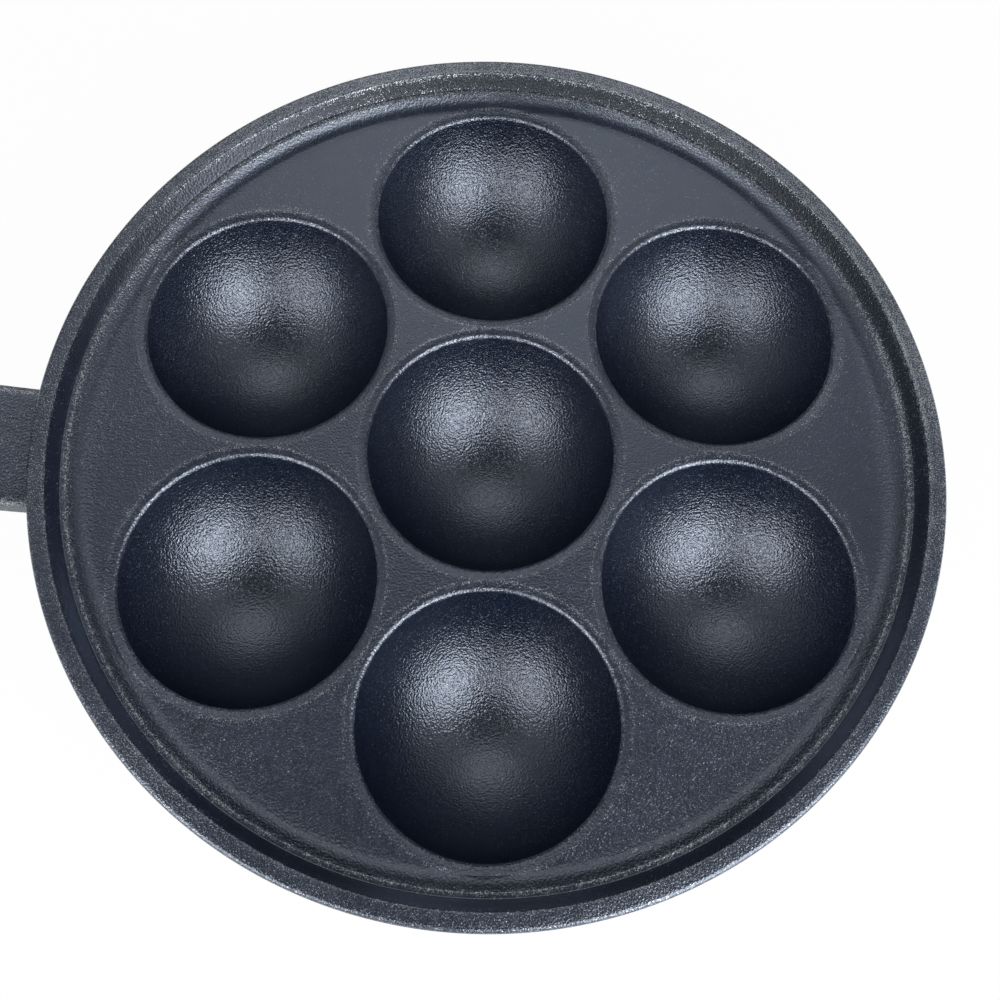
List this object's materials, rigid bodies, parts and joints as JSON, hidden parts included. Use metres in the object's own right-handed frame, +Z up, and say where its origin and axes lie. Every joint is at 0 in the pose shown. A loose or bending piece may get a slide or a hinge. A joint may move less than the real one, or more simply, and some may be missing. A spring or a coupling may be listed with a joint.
{
  "type": "aebleskiver pan",
  "caption": "Round cast-iron pan with half-round bowls in a plate with a raised rim, on a rising arm with a turned wooden grip and a ring to hang it by.",
  "frame": {"origin": "on the pan's axis, on the flat foot under the middle bowl, which is on the plane that the pan stands on", "axes": "+Z up, out of the bowls; the handle points along -X and +Y is across it"},
  "size_m": [0.4019, 0.2202, 0.0819],
  "materials": {
    "iron": "black oil-seasoned casting, fine grain with pale specks, smoother and glossier in the bowls",
    "steel": "satin bright steel",
    "wood": "oiled hardwood"
  },
  "bodies": {
    "pan": {"pan_casting": "iron", "handle_ferrule": "steel", "wood_grip": "wood", "tie_rod": "steel", "end_washer": "steel", "eye_nut": "steel"},
    "ring": {"hanging_ring": "steel"}
  },
  "joints": [
    {"name": "ring_swing", "type": "hinge", "parent": "pan", "child": "ring", "pos_m": [-0.28538, 0, 0.07414], "axis": [0, 1, 0], "range_deg": [-42, 255]}
  ]
}
